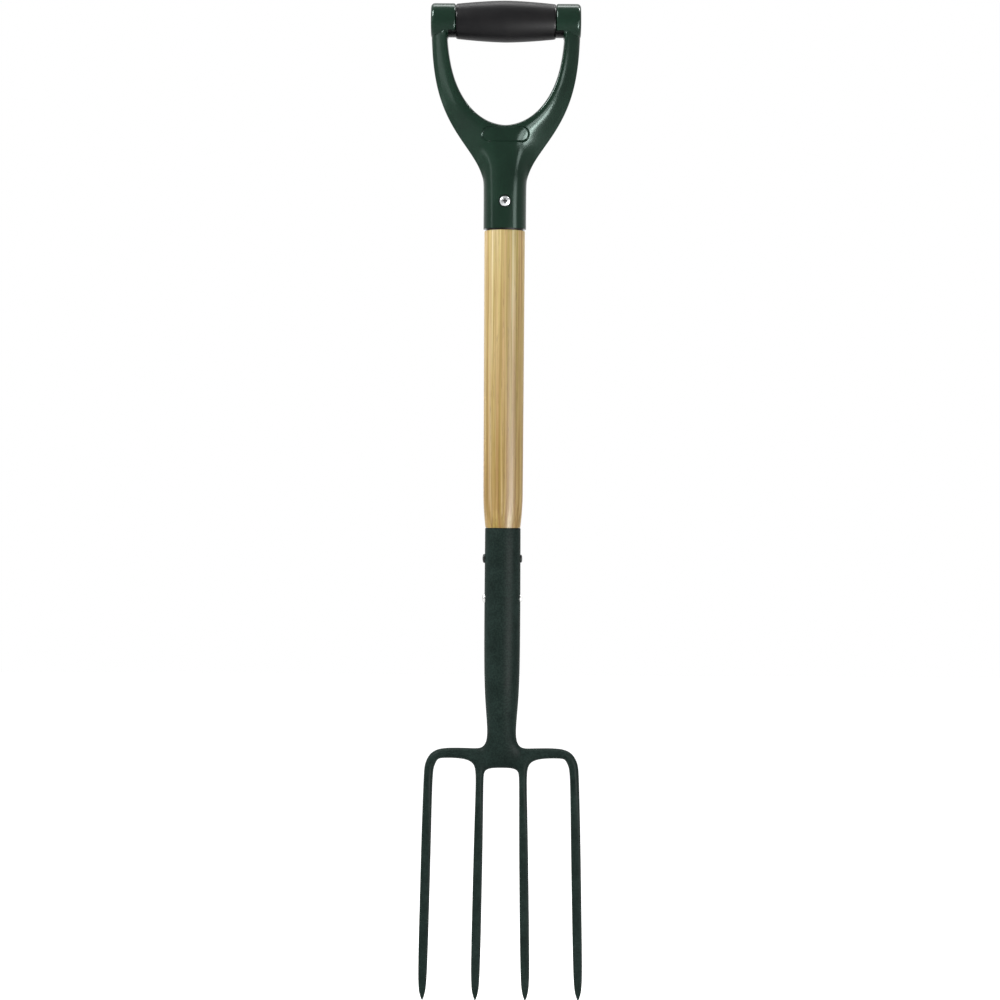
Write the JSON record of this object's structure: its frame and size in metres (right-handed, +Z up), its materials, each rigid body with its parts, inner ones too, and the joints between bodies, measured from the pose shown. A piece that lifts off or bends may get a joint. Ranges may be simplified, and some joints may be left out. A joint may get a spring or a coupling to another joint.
{
  "type": "garden border fork",
  "caption": "Border fork with a forged tined head on a riveted socket, a turned ash shaft and a moulded D handle with a soft grip.",
  "frame": {"origin": "middle of the grip's underside, where a hook carries the hanging fork", "axes": "+Z up the shaft to the handle, -Y to the front where the tines dish, the screw and the recessed pad face, +X to the right seen from the front"},
  "size_m": [0.1506, 0.0421, 0.9201],
  "materials": {
    "green_paint": "satin hammered dark green paint on forged steel",
    "ash": "lacquered ash, grain along the shaft",
    "steel": "bright hammered steel",
    "green_plastic": "semi-gloss moulded dark green plastic",
    "black_rubber": "satin soft rubber",
    "zinc": "bright zinc plate"
  },
  "bodies": {
    "root": {"fork_head": "green_paint", "shaft": "ash", "socket_rivet_upper": "steel", "socket_rivet_lower": "steel", "handle_yoke": "green_plastic", "grip_sleeve": "black_rubber", "handle_screw": "zinc"}
  },
  "joints": []
}
